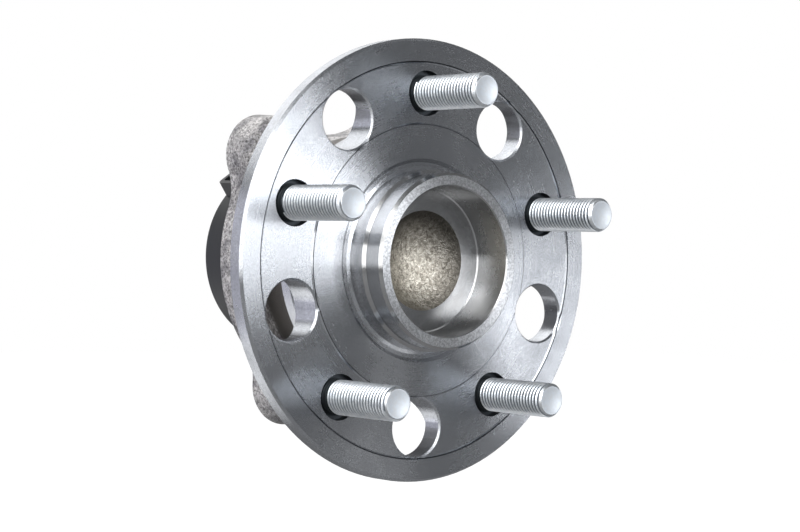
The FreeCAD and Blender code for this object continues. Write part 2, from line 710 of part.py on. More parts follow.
def connector_sketch(body, name, distance, width, height, corner):
    """A rounded rectangle square to the connector's direction, at a distance from the axis."""
    sketch = new_sketch(body, name)
    bind(sketch, "AttachmentOffset.Base.x", -(distance * sine(D.connector_angle)))
    bind(sketch, "AttachmentOffset.Base.z", distance * cosine(D.connector_angle))
    sketch.AttachmentOffset = Placement(Vector(0, 0, 0), Rotation(Vector(0, 1, 0), -35))
    bind(sketch, "AttachmentOffset.Rotation.Angle", -D.connector_angle)
    middle = connector_start + D.connector_height / 2
    low, high = middle - height / 2, middle + height / 2
    half = width / 2
    turns = [
        (half - corner, low + corner, 270),
        (half - corner, high - corner, 0),
        (corner - half, high - corner, 90),
        (corner - half, low + corner, 180),
    ]
    for index, (x, y, start) in enumerate(turns):
        circle = Part.Circle(Vector(x.value, y.value, 0), Vector(0, 0, 1), corner.value)
        arc = Part.ArcOfCircle(circle, math.radians(start), math.radians(start + 90))
        sketch.addGeometry(arc, False)
        pin_point(sketch, index, 3, x, y, f"k{index}")
    for index in range(4):
        ahead = (index + 1) % 4
        begin = sketch.getPoint(index, 2)
        finish = sketch.getPoint(ahead, 1)
        line = sketch.addGeometry(Part.LineSegment(begin, finish), False)
        sketch.addConstraint(Sketcher.Constraint("Tangent", index, 2, line, 1))
        sketch.addConstraint(Sketcher.Constraint("Tangent", line, 2, ahead, 1))
    constraint = sketch.addConstraint(Sketcher.Constraint("Radius", 0, corner.value))
    sketch.renameConstraint(constraint, "corner")
    bind(sketch, "Constraints.corner", corner)
    return sketch


def sensor_cap():
    """Moulded rear cap: skirt in the outer ring, drum, and the connector's shroud."""
    body = new_body("sensor_cap")
    skirt_start = ring_end - D.cap_bore_depth + D.edge_break
    ring_low = skirt_start + D.edge_break
    ring_high = ring_low + D.seal_ring_width
    ring_floor = cap_bore_radius - D.seal_ring_height
    flange_end = ring_end + D.cap_flange_thickness
    skirt_inside = cap_bore_radius - D.cap_skirt_thickness
    drum_inside = D.cap_radius - D.cap_wall
    cap_step_radius = cap_bore_radius - D.cap_step_inset
    form = turned(body, "cap_form", [
        (skirt_inside, skirt_start),
        (cap_bore_radius, skirt_start),
        (cap_bore_radius, ring_low),
        (ring_floor, ring_low),
        (ring_floor, ring_high),
        (cap_bore_radius, ring_high),
        (cap_bore_radius, ring_end),
        (cap_bore_radius + D.cap_flange_step, ring_end),
        (cap_bore_radius + D.cap_flange_step, flange_end),
        (cap_step_radius, flange_end),
        (cap_step_radius, flange_end + D.cap_wall),
        (D.cap_radius, cap_drum_start),
        (D.cap_radius, cap_end),
        (0, cap_end),
        (0, cap_end - D.cap_floor),
        (drum_inside, cap_end - D.cap_floor),
        (drum_inside, cap_drum_start),
        (cap_step_radius - D.cap_skirt_thickness, flange_end),
        (skirt_inside, ring_end),
    ])
    doc.recompute()
    rear_edges = [f"Edge{index}" for index, edge in enumerate(form.Shape.Edges, start=1)
                  if abs(edge.BoundBox.YMin - cap_end.value) < 0.01]
    rounding = body.newObject("PartDesign::Fillet", "rear_edge")
    rounding.Base = (form, rear_edges)
    bind(rounding, "Radius", D.cap_edge_radius)
    shroud = body.newObject("PartDesign::Pad", "connector_shroud")
    shroud.Profile = connector_sketch(body, "connector_shroud", connector_root,
                                      D.connector_width, D.connector_height, D.connector_round)
    bind(shroud, "Length", connector_reach - connector_root)
    socket = body.newObject("PartDesign::Pocket", "connector_socket")
    socket.Profile = connector_sketch(body, "connector_socket", connector_reach,
                                      D.connector_width - D.connector_wall * 2,
                                      D.connector_height - D.connector_wall * 2,
                                      D.connector_round - D.connector_wall / 2)
    bind(socket, "Length", D.socket_depth)
    return body


def cap_seal_ring():
    """Rubber ring in the groove of the cap's skirt."""
    body = new_body("cap_seal_ring")
    low = ring_end - D.cap_bore_depth + D.edge_break * 2
    inner = cap_bore_radius - D.seal_ring_height + D.seal_ring_gap
    outer = cap_bore_radius - D.seal_ring_gap
    turned(body, "seal_ring_form", [
        (inner, low + D.seal_ring_gap),
        (outer, low + D.seal_ring_gap),
        (outer, low + D.seal_ring_width - D.seal_ring_gap),
        (inner, low + D.seal_ring_width - D.seal_ring_gap),
    ])
    return body


def speed_sensor():
    """Sensor moulding: a head over the encoder and a stem up to the connector's block."""
    body = new_body("speed_sensor")
    sketch = new_sketch(body, "sensor")
    closed_outline(sketch, [
        (sensor_outer - D.sensor_depth, sensor_face),
        (sensor_outer, sensor_face),
        (sensor_outer, sensor_face + D.cap_wall),
        (stem_outer, cap_drum_start - D.cap_wall),
        (stem_outer, connector_start),
        (stem_inner, connector_start),
        (stem_inner, sensor_face + D.cap_wall * 2),
    ])
    pad = body.newObject("PartDesign::Pad", "sensor")
    pad.Profile = sketch
    pad.Midplane = True
    bind(pad, "Length", D.sensor_width)
    body.Placement = Placement(Vector(0, 0, 0), Rotation(Vector(0, 1, 0), -125))
    bind(body, "Placement.Rotation.Angle", -(D.connector_angle + 90))
    return body


def connector_pin(number):
    """One contact pin, standing on the socket's floor."""
    pin = doc.addObject("Part::Box", f"Pin_{number + 1}")
    pin.Label = f"connector_pin_{number + 1}"
    bind(pin, "Length", D.pin_width)
    bind(pin, "Width", D.pin_width)
    bind(pin, "Height", D.pin_length)
    side = D.pin_spacing * (number - 0.5) - D.pin_width / 2
    floor = connector_reach - D.socket_depth
    pin.Placement = Placement(Vector(0, 0, 0), Rotation(Vector(0, 1, 0), -35))
    bind(pin, "Placement.Rotation.Angle", -D.connector_angle)
    bind(pin, "Placement.Base.x", side * cosine(D.connector_angle) - floor * sine(D.connector_angle))
    bind(pin, "Placement.Base.y", connector_start + (D.connector_height - D.pin_width) / 2)
    bind(pin, "Placement.Base.z", side * sine(D.connector_angle) + floor * cosine(D.connector_angle))
    return pin


def ball(row_name, station, number, phase):
    sphere = doc.addObject("Part::Sphere", f"Ball_{row_name}_{number + 1}")
    sphere.Label = f"{row_name}_ball_{number + 1:02d}"
    bind(sphere, "Radius", D.ball_radius)
    x, z = around(D.pitch_radius, 360 / D.ball_count * (number + phase))
    sphere.Placement = Placement(Vector(0, 0, 0), Rotation(Vector(1, 0, 0), 90))
    bind(sphere, "Placement.Base.x", x)
    bind(sphere, "Placement.Base.y", station)
    bind(sphere, "Placement.Base.z", z)
    return sphere


def cage(row_name, station, outward, phase):
    """Crown cage: a ring on the outer side of the row, with open pockets for the balls."""
    body = new_body(f"{row_name}_cage")
    back = station + cage_back * outward
    front = station - D.cage_front * outward
    turned(body, "cage_form", [
        (cage_inner, back),
        (cage_outer, back),
        (cage_outer, front),
        (cage_inner, front),
    ])
    x, z = around(D.pitch_radius, 360 / D.ball_count * phase)
    pocket = body.newObject("PartDesign::SubtractiveSphere", "pocket")
    bind(pocket, "Radius", D.ball_radius + D.pocket_gap)
    bind(pocket, "Placement.Base.x", x)
    bind(pocket, "Placement.Base.y", station)
    bind(pocket, "Placement.Base.z", z)
    repeated(body, "pockets", [pocket], D.ball_count)
    return body


parts.append(wheel_hub())
for number in range(int(D.stud_count.value)):
    parts.append(wheel_stud(number))
parts.append(inner_ring())
parts.append(encoder_carrier())
parts.append(encoder_ring())
parts.append(outer_ring())
parts.append(seal_case())
parts.append(seal_lip())
parts.append(sensor_cap())
parts.append(cap_seal_ring())
parts.append(speed_sensor())
for number in range(2):
    parts.append(connector_pin(number))
for row_name, station, outward, phase in (
    ("outboard", outboard_row, -1, 0.0),
    ("inboard", inboard_row, 1, 0.5),
):
    parts.append(cage(row_name, station, outward, phase))
    for number in range(int(D.ball_count.value)):
        parts.append(ball(row_name, station, number, phase))

doc.recompute()

failed = [item.Name for item in doc.Objects if "Invalid" in item.State or "Error" in item.State]
if failed:
    raise RuntimeError(f"these objects failed: {failed}")
os.makedirs("parts", exist_ok=True)
for part in parts:
    shape = part.Shape
    if shape.isNull() or not shape.isValid():
        raise RuntimeError(f"{part.Label} has no valid shape")
    shape.exportStep(os.path.join("parts", f"{part.Label}.step"))
print(f"wrote {len(parts)} parts")
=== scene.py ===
"""Dresses the wheel hub bearing: threaded studs, steel and moulded finishes, and the studio."""

import math

import bmesh
import bpy
from bpy.props import (FloatProperty, FloatVectorProperty, IntProperty, PointerProperty,
                       StringProperty)
from mathutils import Matrix, Vector


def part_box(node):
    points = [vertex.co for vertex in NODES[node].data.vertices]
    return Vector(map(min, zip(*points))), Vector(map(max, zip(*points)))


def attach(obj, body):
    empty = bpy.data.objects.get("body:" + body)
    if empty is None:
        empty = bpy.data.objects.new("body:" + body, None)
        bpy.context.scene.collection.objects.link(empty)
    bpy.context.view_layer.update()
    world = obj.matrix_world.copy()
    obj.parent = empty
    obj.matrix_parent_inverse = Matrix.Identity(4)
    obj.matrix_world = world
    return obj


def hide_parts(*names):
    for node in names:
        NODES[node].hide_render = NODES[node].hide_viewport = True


bl_info = {
    "name": "Wheel Hub Bearing",
    "version": (1, 0, 0),
    "blender": (4, 5, 0),
    "location": "View3D > Sidebar > Hub Bearing",
    "description": "Finishes a wheel hub bearing and sets up its studio",
    "category": "Object",
}

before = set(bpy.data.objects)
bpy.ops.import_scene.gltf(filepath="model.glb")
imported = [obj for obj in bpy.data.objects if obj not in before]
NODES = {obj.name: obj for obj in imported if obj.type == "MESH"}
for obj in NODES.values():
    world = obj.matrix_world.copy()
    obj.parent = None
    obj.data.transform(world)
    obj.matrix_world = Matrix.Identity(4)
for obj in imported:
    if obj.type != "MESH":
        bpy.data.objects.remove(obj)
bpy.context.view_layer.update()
MM = 0.001
AXIS = Vector((0.0, 1.0, 0.0))
MERGE_DISTANCE = 1e-6
CUT_DISTANCE = 1e-7

# Sizes of the studs, and the limits that sort the CAD's faces into finishes, most with a small
# margin. Radii are from the axis of the hub, stud or hole. Places are along the hub's axis, from
# the flange's front face to the vehicle.
STUD_COUNT = 5
STUD_CIRCLE = 57.15 * MM
THREAD_RADIUS = 5.9 * MM
NECK_RADIUS = 6.45 * MM
NECK_START = 3.5 * MM
STUD_HEAD_START = 8.0 * MM
# Behind this place a stud's faces, in the counterbore, are painted shade.
NECK_SHADE_FROM = 0.3 * MM
COUNTERBORE_RADIUS = 7.9 * MM
COUNTERBORE_FRONT, COUNTERBORE_BACK = 0.55 * MM, 7.5 * MM
BOWL_RADIUS = 17.3 * MM
BOWL_FRONT, BOWL_BACK = -0.28 * MM, 9.0 * MM
PILOT_RADIUS = 31.2 * MM
PILOT_ROOT, PILOT_END = -0.1 * MM, -14.3 * MM
PILOT_BORE_RADIUS = 27.5 * MM
RING_BORE_RADIUS = 39.6 * MM
RING_LAND_END = 20.6 * MM
RING_BACK_FACE = 46.95 * MM
# Painted shadow of the flange on the outer ring's barrel, fading out between these places.
BARREL_SHADE_END, BARREL_SHADE_FADED = 33.0 * MM, 35.5 * MM
EAR_CIRCLE = 50.0 * MM
EAR_DEGREES = (46, 154, 226, 334)
EAR_HOLE_RADIUS = 5.3 * MM
EAR_CHAMFER_RADIUS = 6.1 * MM
EAR_CHAMFER_START = 46.1 * MM

# Slots of the finishes, in the order in which the operators list them.
TURNED, BOWL, COUNTERBORE, END_FACE, FINE_TURNED, BORE_WALL = range(6)
PLATED, SHADED_NECK, DISH, THREAD_ROOT = range(4)
FORGED, MACHINED, GROUND = range(3)

# Scales of the noise patterns, in cells to a metre, with the size of a cell. A pixel of the picture
# is about 0.34 mm wide at the hub, so grain that is finer is drawn as coarse as it needs to show.
FEED_MARKS = 1600.0  # 0.6 mm, and about 0.15 mm on a real part
HANDLING_STAINS = 42.0  # 24 mm
TORN_GRAIN = 1500.0  # 0.7 mm, and finer on a real part
FORGING_WRINKLES = 850.0  # 1.2 mm
FORGING_GRIT = 2600.0  # 0.4 mm
SHOT_DENTS = 1200.0  # 0.8 mm
SCALE_PATCHES = 160.0  # 6 mm
PLATING_GRAIN = 900.0  # 1.1 mm, and finer on a real part
MOULD_GRAIN = 2200.0  # 0.5 mm, and finer on a real part
RUBBER_GRAIN = 1500.0  # 0.7 mm, and finer on a real part
GRINDING_GRAIN = 500.0  # 2 mm, and finer on a real part

# Radius and half width, in millimetres, of the shadows in the corners of the flange's face, and
# where they lie along the axis.
FLANGE_STEPS = ((67.8, 0.22), (46.5, 0.13))
STEP_PLACE, STEP_REACH = 0.25 * MM, 0.4 * MM

CAMERA_RIGHT = Vector((0.7768, -0.6290, 0.0311))
CAMERA_VIEW = Vector((0.6294, 0.7771, -0.0047))
FLOOR_HALF_SIDE = 6.0
FLOOR_SHADE = (0.22, 0.22, 0.22, 1.0)
ROOM_SHADE = (0.95, 0.97, 1.0, 1.0)
ROOM_STRENGTH = 0.19

# Name, azimuth, elevation, distance, angles across and up, radiance and colour. The azimuth is 0 in
# front of the flange.
LIGHTS = [
    ("front_box", 9.0, 2.3, 1.6, 48.0, 9.6, 3.6, "#FAFCFF"),
    ("front_upper_box", 4.5, 14.0, 1.6, 39.0, 14.0, 7.2, "#FAFCFF"),
    ("front_top_box", 4.0, 27.0, 1.6, 20.0, 12.0, 4.2, "#FAFCFF"),
    ("front_high_box", -22.0, 38.0, 1.6, 44.0, 22.0, 3.4, "#FFFFFF"),
    ("camera_box", -55.0, 18.0, 1.6, 44.0, 50.0, 2.6, "#FFFFFF"),
    ("front_lower_box", 6.0, -5.0, 1.6, 26.0, 5.0, 3.4, "#FAFCFF"),
    ("front_low_box", 33.0, -40.0, 0.42, 18.0, 20.0, 1.1, "#FFFFFF"),
    ("back_low_box", -157.0, -33.0, 0.5, 34.0, 22.0, 1.3, "#FFFFFF"),
    ("right_box", 88.0, -9.0, 0.8, 40.0, 34.0, 1.6, "#F6F8FF"),
    ("top_box", 180.0, 48.0, 1.4, 80.0, 36.0, 1.8, "#FFFFFF"),
    ("back_left_box", -150.0, -4.0, 0.8, 34.0, 46.0, 1.0, "#F2F1FF"),
]


# Sizes and colours that a user would change


class StudSizes(bpy.types.PropertyGroup):
    """Sizes of the wheel studs."""

    pitch: FloatProperty(name="Thread pitch", description="Pitch of the stud's thread",
                         default=1.5 * MM, precision=5, unit="LENGTH")
    depth: FloatProperty(name="Thread depth", description="Radial depth of the thread",
                         default=0.84 * MM, precision=5, unit="LENGTH")
    end_chamfer: FloatProperty(name="End chamfer", description="Radial size of the end's chamfer",
                               default=1.1 * MM, precision=5, unit="LENGTH")
    thread_end: FloatProperty(name="Thread end", description="Where the thread ends in the flange",
                              default=3.9 * MM, precision=5, unit="LENGTH")
    turn_steps: IntProperty(name="Steps", description="Steps in one turn of the thread",
                            default=40, min=12)
    head_edge: FloatProperty(name="Head edge", description="Chamfer of the head's edges",
                             default=0.5 * MM, precision=5, unit="LENGTH")
    dish_edge: FloatProperty(name="Dish edge", description="Flat edge round the dish in the end",
                             default=0.5 * MM, precision=5, unit="LENGTH")
    dish_depth: FloatProperty(name="Dish depth", description="Depth of the dish in the stud's end",
                              default=0.3 * MM, precision=5, unit="LENGTH")
    head_steps: IntProperty(name="Head steps", description="Steps round the stud's neck and head",
                            default=64, min=12)


class FinishColours(bpy.types.PropertyGroup):
    """Colours of the finishes, as sRGB hex values."""

    turned: StringProperty(name="Turned steel", description="Colour of the turned faces",
                           default="#C9CCD1")
    forged: StringProperty(name="Forged steel", description="Colour of the forged skin",
                           default="#FAF7F6")
    zinc: StringProperty(name="Zinc plate", description="Colour of the studs' plating",
                         default="#EBEDEF")
    moulding: StringProperty(name="Black moulding", description="Colour of the cap",
                             default="#191B1E")
    rubber: StringProperty(name="Rubber", description="Colour of the seals", default="#1B1B1C")
    cage: StringProperty(name="Cage", description="Colour of the ball cages", default="#C9BFA2")
    brass: StringProperty(name="Contact", description="Colour of the contact pins",
                          default="#C9A862")


class StudioSizes(bpy.types.PropertyGroup):
    """Camera and floor of the studio."""

    camera_place: FloatVectorProperty(name="Camera", description="Place of the camera", size=3,
                                      default=(-0.49407, -0.59786, 0.00155), subtype="TRANSLATION",
                                      unit="LENGTH")
    lens: FloatProperty(name="Lens", description="Focal length in millimetres", default=102.2)
    floor_drop: FloatProperty(name="Floor", description="Depth of the floor under the axis",
                              default=0.36, unit="LENGTH")


# Helpers


def hex_colour(text):
    """Linear colour of an sRGB hex value."""
    parts = [int(text[i:i + 2], 16) / 255 for i in (1, 3, 5)]
    linear = [p / 12.92 if p <= 0.04045 else ((p + 0.055) / 1.055) ** 2.4 for p in parts]
    return (*linear, 1.0)


def add_node(tree, kind, inputs=None, stops=(), **settings):
    """Adds a node with its settings, and sets or links its inputs.

    stops are the places and colours along a colour ramp, from its low end to its high end.
    """
    node = tree.nodes.new(kind)
    for name, value in settings.items():
        setattr(node, name, value)
    for socket, value in (inputs or {}).items():
        if isinstance(value, bpy.types.NodeSocket):
            tree.links.new(value, node.inputs[socket])
        else:
            node.inputs[socket].default_value = value
    if stops:
        elements = node.color_ramp.elements
        elements[0].position, elements[0].color = stops[0]
        elements[1].position, elements[1].color = stops[-1]
        for position, colour in stops[1:-1]:
            elements.new(position).color = colour
    return node


def new_material(name):
    """A material with an empty node tree, its output and its shader."""
    material = bpy.data.materials.new(name)
    material.use_nodes = True
    tree = material.node_tree
    tree.nodes.clear()
    shader = add_node(tree, "ShaderNodeBsdfPrincipled")
    add_node(tree, "ShaderNodeOutputMaterial", {"Surface": shader.outputs["BSDF"]})
    return material, tree, shader


def radius_of(tree, place):
    """Distance from the hub's axis."""
    flat = add_node(tree, "ShaderNodeVectorMath", {0: place, 1: (1.0, 0.0, 1.0)},
                    operation="MULTIPLY").outputs[0]
    return add_node(tree, "ShaderNodeVectorMath", {0: flat}, operation="LENGTH").outputs["Value"]


def turning_direction(tree, place):
    """Direction of the turning marks, round the hub's axis, in the world."""
    across = add_node(tree, "ShaderNodeVectorMath", {0: place, 1: tuple(AXIS)},
                      operation="CROSS_PRODUCT").outputs[0]
    return add_node(tree, "ShaderNodeVectorTransform", {0: across}, vector_type="VECTOR",
                    convert_from="OBJECT", convert_to="WORLD").outputs[0]


def turned_steel(name, colour, roughness=0.25, anisotropy=0.97, torn=0.4, steps=()):
    """Steel turned on a lathe.

    The tool leaves fine rings, so a light spreads across them in a bow tie. torn is how much the
    grain is torn out. Each of the steps is the radius and the half width, in millimetres, of the
    shadow in a corner of the flange's face.
    """
    material, tree, shader = new_material(name)
    place = add_node(tree, "ShaderNodeTexCoord").outputs["Object"]
    radius = radius_of(tree, place)
    marks = add_node(tree, "ShaderNodeTexNoise", {"W": radius, "Scale": FEED_MARKS, "Detail": 3.0},
                     noise_dimensions="1D").outputs["Fac"]
    stains = add_node(tree, "ShaderNodeTexNoise",
                      {"Vector": place, "Scale": HANDLING_STAINS, "Detail": 8.0,
                       "Roughness": 0.72}).outputs["Fac"]
    rough = add_node(tree, "ShaderNodeMapRange",
                     {"Value": stains, "From Min": 0.3, "From Max": 0.7,
                      "To Min": roughness - 0.05, "To Max": roughness + 0.07}).outputs[0]
    streaked = add_node(tree, "ShaderNodeMath", {0: marks, 1: 0.06, 2: rough},
                        operation="MULTIPLY_ADD").outputs[0]
    lowered = add_node(tree, "ShaderNodeMath", {0: streaked, 1: 0.03}, operation="SUBTRACT")
    tree.links.new(lowered.outputs[0], shader.inputs["Roughness"])
    tree.links.new(turning_direction(tree, place), shader.inputs["Tangent"])
    # Torn grain and handling marks show as specks.
    specks = add_node(tree, "ShaderNodeTexNoise",
                      {"Vector": place, "Scale": TORN_GRAIN, "Detail": 4.0,
                       "Roughness": 0.7}).outputs["Fac"]
    bump = add_node(tree, "ShaderNodeBump",
                    {"Strength": 1.0, "Distance": 0.04 * torn * MM, "Height": specks})
    tree.links.new(bump.outputs[0], shader.inputs["Normal"])
    dark = add_node(tree, "ShaderNodeMapRange",
                    {"Value": specks, "From Min": 0.40, "From Max": 0.58,
                     "To Min": 0.45 * torn, "To Max": 0.0}).outputs[0]
    for step, half_width in steps:
        line = add_node(tree, "ShaderNodeMath", {0: radius, 1: step * MM, 2: half_width * MM},
                        operation="COMPARE").outputs[0]
        along = add_node(tree, "ShaderNodeSeparateXYZ", {0: place}).outputs["Y"]
        near = add_node(tree, "ShaderNodeMath", {0: along, 1: STEP_PLACE, 2: STEP_REACH},
                        operation="COMPARE").outputs[0]
        shadow = add_node(tree, "ShaderNodeMath", {0: line, 1: near}, operation="MULTIPLY")
        dark = add_node(tree, "ShaderNodeMath", {0: shadow.outputs[0], 1: dark},
                        operation="MAXIMUM").outputs[0]
    steel = add_node(tree, "ShaderNodeMix",
                     {"Factor": stains, "A": hex_colour(colour), "B": hex_colour("#BCBEC2")},
                     data_type="RGBA").outputs["Result"]
    tint = add_node(tree, "ShaderNodeMix",
                    {"Factor": dark, "A": steel, "B": hex_colour("#46494E")}, data_type="RGBA")
    tree.links.new(tint.outputs["Result"], shader.inputs["Base Color"])
    shader.inputs["Metallic"].default_value = 1.0
    shader.inputs["Anisotropic"].default_value = anisotropy
    shader.inputs["Anisotropic Rotation"].default_value = 0.25
    return material


def bowl_skin(name):
    """As-forged steel in the bowl, wrinkled and grainy, with painted shade towards its edge."""
    material, tree, shader = new_material(name)
    place = add_node(tree, "ShaderNodeTexCoord").outputs["Object"]
    wrinkles = add_node(tree, "ShaderNodeTexNoise",
                        {"Vector": place, "Scale": FORGING_WRINKLES, "Detail": 5.0,
                         "Roughness": 0.62, "Distortion": 0.8}).outputs["Fac"]
    grit = add_node(tree, "ShaderNodeTexNoise",
                    {"Vector": place, "Scale": FORGING_GRIT, "Detail": 3.0}).outputs["Fac"]
    both = add_node(tree, "ShaderNodeMath", {0: grit, 1: 0.3, 2: wrinkles},
                    operation="MULTIPLY_ADD").outputs[0]
    bump = add_node(tree, "ShaderNodeBump",
                    {"Strength": 1.0, "Distance": 0.45 * MM, "Height": both})
    grain = add_node(tree, "ShaderNodeValToRGB", {"Fac": wrinkles},
                     stops=[(0.34, hex_colour("#8C867B")), (0.5, hex_colour("#C2BCB0")),
                            (0.66, hex_colour("#F0EBE0"))]).outputs["Color"]
    # Painted shade: the colour darkens near the bowl's edge and above its middle.
    low = add_node(tree, "ShaderNodeVectorMath", {0: place, 1: (-1.5 * MM, 0.0, -3.5 * MM)},
                   operation="SUBTRACT").outputs[0]
    unshaded = add_node(tree, "ShaderNodeMapRange",
                     {"Value": radius_of(tree, low), "From Min": 5.0 * MM, "From Max": 19.0 * MM,
                      "To Min": 1.0, "To Max": 0.10}).outputs[0]
    tint = add_node(tree, "ShaderNodeMix",
                    {"Factor": unshaded, "A": hex_colour("#2E2C2A"), "B": grain}, data_type="RGBA")
    tree.links.new(tint.outputs["Result"], shader.inputs["Base Color"])
    tree.links.new(bump.outputs[0], shader.inputs["Normal"])
    shader.inputs["Metallic"].default_value = 1.0
    shader.inputs["Roughness"].default_value = 0.36
    return material


def forged_steel(name, colour):
    """Hot-forged and shot-blasted steel. Scale and grit leave a rough skin that sparkles."""
    material, tree, shader = new_material(name)
    place = add_node(tree, "ShaderNodeTexCoord").outputs["Object"]
    grit = add_node(tree, "ShaderNodeTexNoise",
                    {"Vector": place, "Scale": SHOT_DENTS, "Detail": 5.0,
                     "Roughness": 0.75}).outputs["Fac"]
    scale = add_node(tree, "ShaderNodeTexNoise",
                     {"Vector": place, "Scale": SCALE_PATCHES, "Detail": 5.0,
                      "Roughness": 0.6}).outputs["Fac"]
    both = add_node(tree, "ShaderNodeMath", {0: scale, 1: 0.6, 2: grit},
                    operation="MULTIPLY_ADD").outputs[0]
    bump = add_node(tree, "ShaderNodeBump",
                    {"Strength": 1.0, "Distance": 0.55 * MM, "Height": both})
    shade = add_node(tree, "ShaderNodeValToRGB", {"Fac": grit},
                     stops=[(0.36, hex_colour("#6A6664")),
                            (0.6, hex_colour(colour))]).outputs["Color"]
    # Patches where the blasting left scale are darker.
    patches = add_node(tree, "ShaderNodeValToRGB", {"Fac": scale},
                       stops=[(0.38, hex_colour("#B4B4B8")),
                              (0.56, hex_colour("#FFFFFF"))]).outputs["Color"]
    mottled = add_node(tree, "ShaderNodeMix", {"Factor": 1.0, "A": shade, "B": patches},
                       data_type="RGBA", blend_type="MULTIPLY").outputs["Result"]
    # The barrel in front of the ears is darker, a painted shadow of the flange.
    along = add_node(tree, "ShaderNodeSeparateXYZ", {0: place}).outputs["Y"]
    unshadowed = add_node(tree, "ShaderNodeMapRange",
                       {"Value": along, "From Min": BARREL_SHADE_END,
                        "From Max": BARREL_SHADE_FADED}).outputs[0]
    tint = add_node(tree, "ShaderNodeMix",
                    {"Factor": unshadowed, "A": hex_colour("#7A7672"), "B": mottled},
                    data_type="RGBA")
    tree.links.new(tint.outputs["Result"], shader.inputs["Base Color"])
    tree.links.new(bump.outputs[0], shader.inputs["Normal"])
    shader.inputs["Metallic"].default_value = 1.0
    shader.inputs["Roughness"].default_value = 0.30
    return material


def zinc_plate(name, colour, roughness=0.34):
    """Zinc-plated steel. The plating is satin and faintly blue."""
    material, tree, shader = new_material(name)
    place = add_node(tree, "ShaderNodeTexCoord").outputs["Object"]
    grain = add_node(tree, "ShaderNodeTexNoise",
                     {"Vector": place, "Scale": PLATING_GRAIN, "Detail": 3.0}).outputs["Fac"]
    rough = add_node(tree, "ShaderNodeMapRange",
                     {"Value": grain, "To Min": roughness - 0.05, "To Max": roughness + 0.07})
    tint = add_node(tree, "ShaderNodeValToRGB", {"Fac": grain},
                    stops=[(0.3, hex_colour("#CDD3D9")), (0.7, hex_colour(colour))])
    tree.links.new(tint.outputs["Color"], shader.inputs["Base Color"])
    tree.links.new(rough.outputs[0], shader.inputs["Roughness"])
    shader.inputs["Metallic"].default_value = 1.0
    return material


def moulding(name, colour, roughness, grain_scale=MOULD_GRAIN):
    """Glass-filled polyamide or rubber from a mould, with a fine satin grain."""
    material, tree, shader = new_material(name)
    place = add_node(tree, "ShaderNodeTexCoord").outputs["Object"]
    grain = add_node(tree, "ShaderNodeTexNoise",
                     {"Vector": place, "Scale": grain_scale, "Detail": 2.0}).outputs["Fac"]
    rough = add_node(tree, "ShaderNodeMapRange",
                     {"Value": grain, "To Min": roughness - 0.06, "To Max": roughness + 0.06})
    bump = add_node(tree, "ShaderNodeBump",
                    {"Strength": 0.15, "Distance": 0.1 * MM, "Height": grain})
    shader.inputs["Base Color"].default_value = hex_colour(colour)
    tree.links.new(rough.outputs[0], shader.inputs["Roughness"])
    tree.links.new(bump.outputs[0], shader.inputs["Normal"])
    return material


def ground_steel(name, colour, roughness):
    """Ground and polished bearing steel, with a faint grain."""
    material, tree, shader = new_material(name)
    place = add_node(tree, "ShaderNodeTexCoord").outputs["Object"]
    grain = add_node(tree, "ShaderNodeTexNoise",
                     {"Vector": place, "Scale": GRINDING_GRAIN, "Detail": 3.0}).outputs["Fac"]
    rough = add_node(tree, "ShaderNodeMapRange",
                     {"Value": grain, "To Min": roughness * 0.7, "To Max": roughness * 1.3})
    shader.inputs["Base Color"].default_value = hex_colour(colour)
    shader.inputs["Metallic"].default_value = 1.0
    tree.links.new(rough.outputs[0], shader.inputs["Roughness"])
    return material


def dress(nodes, material):
    """Gives CAD nodes a material."""
    for name in nodes:
        slots = NODES[name].data.materials
        if len(slots):
            for index in range(len(slots)):
                slots[index] = material
        else:
            slots.append(material)


def new_piece(name, bm, materials, body, slot, *replaced, sharp=32):
    """Makes an object of a bmesh, which rides on a body and stands for CAD nodes.

    sharp is the least angle of a sharp edge. With None the mesh keeps the CAD's normals.
    """
    data = bpy.data.meshes.new(name)
    for face in bm.faces:
        face.smooth = True
    bm.to_mesh(data)
    bm.free()
    for material in materials:
        data.materials.append(material)
    if sharp is not None:
        if data.has_custom_normals:
            data.attributes.remove(data.attributes["custom_normal"])
        data.set_sharp_from_angle(angle=math.radians(sharp))
    piece = bpy.data.objects.new(name, data)
    bpy.context.scene.collection.objects.link(piece)
    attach(piece, body)
    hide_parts(*replaced)


def mesh_copy(node, merged=True):
    """A bmesh of a CAD node's mesh, with its triangles joined if it is merged."""
    bm = bmesh.new()
    bm.from_mesh(NODES[node].data)
    if merged:
        bmesh.ops.remove_doubles(bm, verts=bm.verts, dist=MERGE_DISTANCE)
    return bm


def distance_from(place, circle, turn):
    """Distance from the axis of a stud or hole, which stands on a circle about the hub's axis."""
    return math.hypot(place.x + circle * math.sin(turn), place.z - circle * math.cos(turn))


def hub_finish(place, normal):
    """Slot of the finish of a face of the hub."""
    across = math.hypot(place.x, place.z)
    if across < BOWL_RADIUS and BOWL_FRONT < place.y < BOWL_BACK:
        return BOWL
    # The counterbores are dark with oil and painted shade.
    if COUNTERBORE_FRONT < place.y < COUNTERBORE_BACK:
        for number in range(STUD_COUNT):
            turn = math.tau / STUD_COUNT * number
            if distance_from(place, STUD_CIRCLE, turn) < COUNTERBORE_RADIUS:
                return COUNTERBORE
    if place.y < PILOT_END and normal.y < -0.9:
        return END_FACE
    if across < PILOT_RADIUS and place.y < PILOT_ROOT:
        # The bore's wall is a darker copy of the turned steel, painted shade.
        is_wall = across < PILOT_BORE_RADIUS and abs(normal.y) < 0.6
        return BORE_WALL if is_wall else FINE_TURNED
    return TURNED


